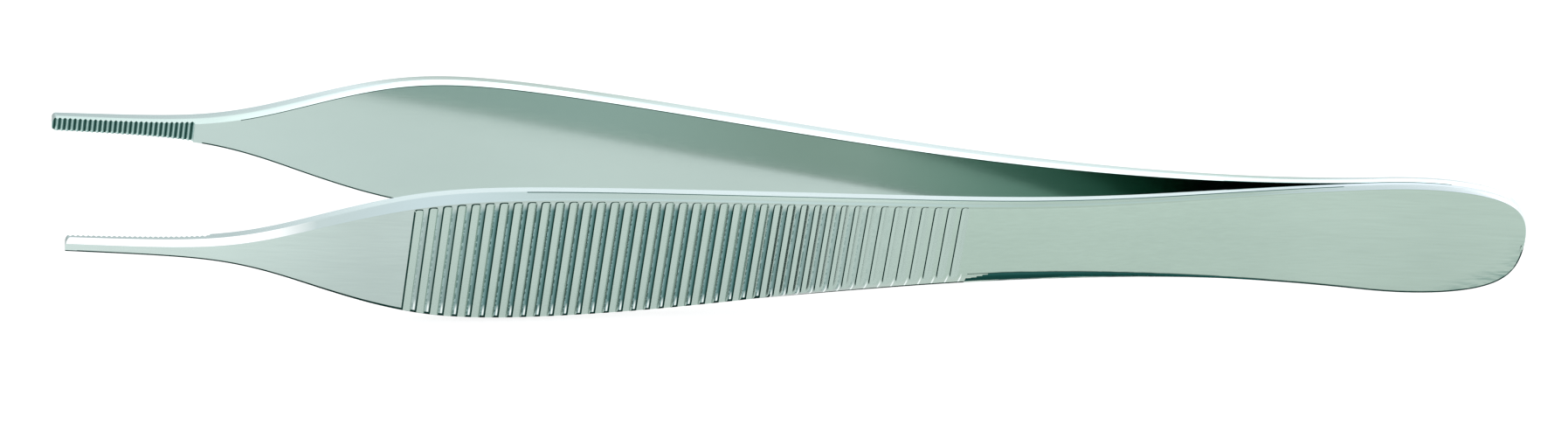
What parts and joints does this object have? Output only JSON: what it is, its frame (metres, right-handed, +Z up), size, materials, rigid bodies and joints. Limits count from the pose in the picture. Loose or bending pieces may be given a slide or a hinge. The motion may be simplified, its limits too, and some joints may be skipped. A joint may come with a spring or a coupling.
{
  "type": "thumb forceps",
  "caption": "Spring forceps of steel blades joined at the butt, with narrow toothed jaws and a broad grooved thumb grip, lying on their long edges.",
  "frame": {"origin": "middle of the length and of the opening, at the height of the lowest edge that the forceps lie on", "axes": "+X along the forceps from the tips to the butt, +Y across the opening towards the rear blade, +Z up across the width of the blades"},
  "size_m": [0.12, 0.0184, 0.012],
  "materials": {
    "satin_steel": "satin"
  },
  "bodies": {
    "root": {"front_blade": "satin_steel", "rear_blade": "satin_steel"}
  },
  "joints": []
}
